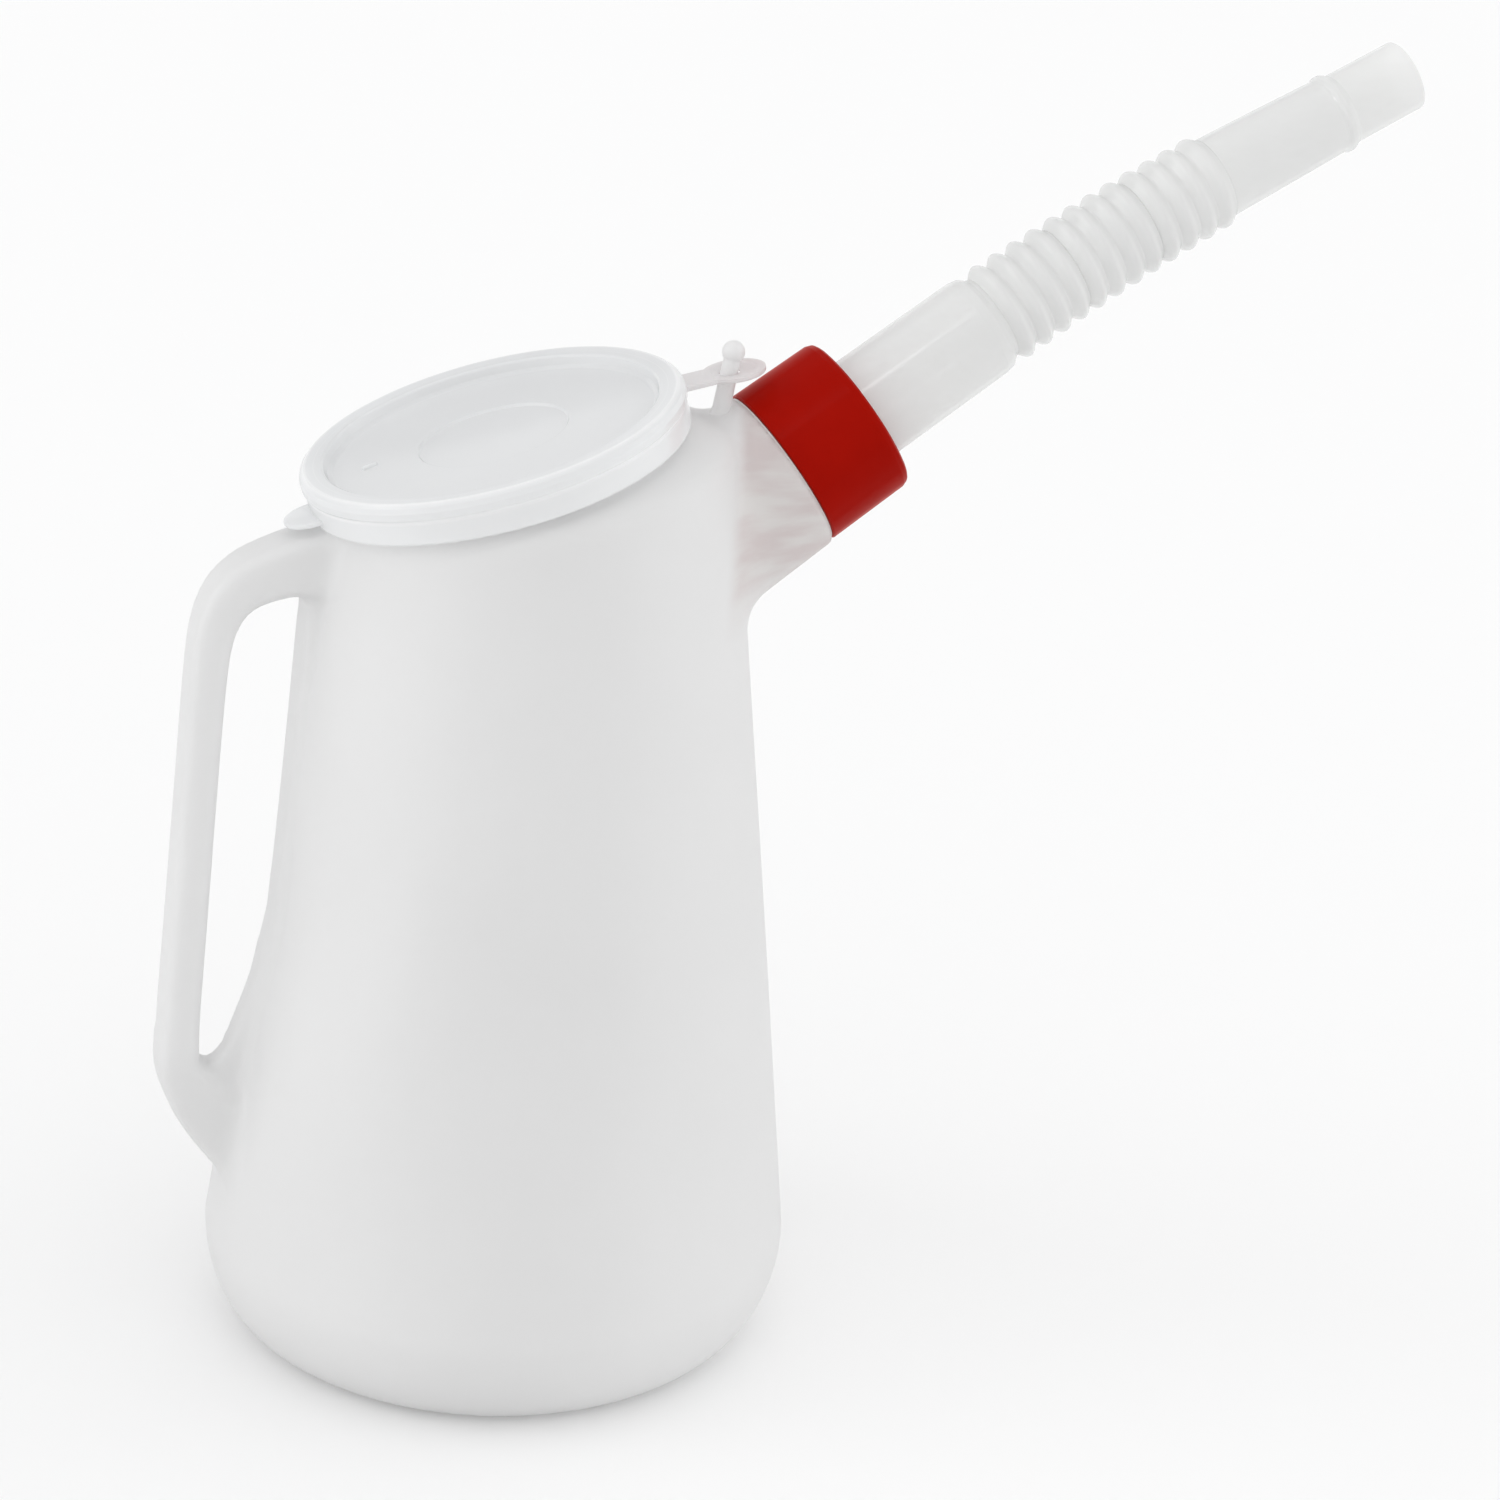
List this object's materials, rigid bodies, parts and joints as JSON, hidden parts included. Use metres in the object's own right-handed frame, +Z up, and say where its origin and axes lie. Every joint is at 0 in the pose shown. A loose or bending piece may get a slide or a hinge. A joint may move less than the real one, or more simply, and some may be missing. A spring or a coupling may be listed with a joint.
{
  "type": "oil jug",
  "caption": "Tapered translucent oil jug with a side handle, a tilted tethered press-on lid and a flexible pouring spout held by a red union nut.",
  "frame": {"origin": "centre of the base, on the floor", "axes": "+Z up, +X towards the spout, the handle on the -X side, and the plane Y = 0 halves the jug"},
  "size_m": [0.4072, 0.19, 0.4172],
  "materials": {
    "jug_hdpe": "milky translucent polyethylene, satin",
    "lid_ldpe": "milky translucent polyethylene, soft gloss",
    "strap_ldpe": "translucent flexible polyethylene",
    "nut_red": "opaque red, semi-gloss",
    "seal_white": "matt white sealing ring",
    "spout_ldpe": "clear to milky flexible polyethylene, glossy"
  },
  "bodies": {
    "jug": {"jug_body": "jug_hdpe"},
    "lid": {"lid": "lid_ldpe", "lid_strap": "strap_ldpe"},
    "seal": {"seal_ring": "seal_white"},
    "collar": {"union_nut": "nut_red"},
    "spout": {"spout_tube": "spout_ldpe"},
    "flex_low": {"bellows_a": "spout_ldpe"},
    "flex_mid": {"bellows_b": "spout_ldpe"},
    "nozzle": {"bellows_c": "spout_ldpe", "spout_nozzle": "spout_ldpe"}
  },
  "joints": [
    {"name": "lid_open", "type": "hinge", "parent": "jug", "child": "lid", "pos_m": [0.05223, 0, 0.3112], "axis": [0, 1, 0], "range_deg": [0, 64], "deforming": ["lid_strap"]},
    {"name": "spout_lift", "type": "slide", "parent": "jug", "child": "seal", "axis": [0.8211, 0, 0.5707], "range_m": [0, 0.024]},
    {"name": "collar_turn", "type": "hinge", "parent": "seal", "child": "collar", "pos_m": [0.09623, 0, 0.29222], "axis": [0.8211, 0, 0.5707], "range_deg": [0, 1440]},
    {"name": "spout_swivel", "type": "hinge", "parent": "seal", "child": "spout", "pos_m": [0.10445, 0, 0.29793], "axis": [0.8211, 0, 0.5707], "range_deg": [-180, 180]},
    {"name": "spout_bend", "type": "hinge", "parent": "spout", "child": "flex_low", "pos_m": [0.16211, 0, 0.33743], "axis": [0, 1, 0], "range_deg": [-25, 25], "stiffness_Nm_per_rad": 0.5, "deforming": ["bellows_a"]},
    {"name": "spout_bend_mid", "type": "hinge", "parent": "flex_low", "child": "flex_mid", "pos_m": [0.1862, 0, 0.35246], "axis": [0, 1, 0], "range_deg": [-25, 25], "stiffness_Nm_per_rad": 0.5, "deforming": ["bellows_b"]},
    {"name": "spout_bend_top", "type": "hinge", "parent": "flex_mid", "child": "nozzle", "pos_m": [0.21078, 0, 0.36668], "axis": [0, 1, 0], "range_deg": [-25, 25], "stiffness_Nm_per_rad": 0.5, "deforming": ["bellows_c"]}
  ],
  "couplings": [
    {"joint": "spout_lift", "follows": "collar_turn", "m_per_rad": 0.00095493},
    {"joint": "spout_bend_mid", "follows": "spout_bend", "ratio": 1},
    {"joint": "spout_bend_top", "follows": "spout_bend", "ratio": 1}
  ]
}
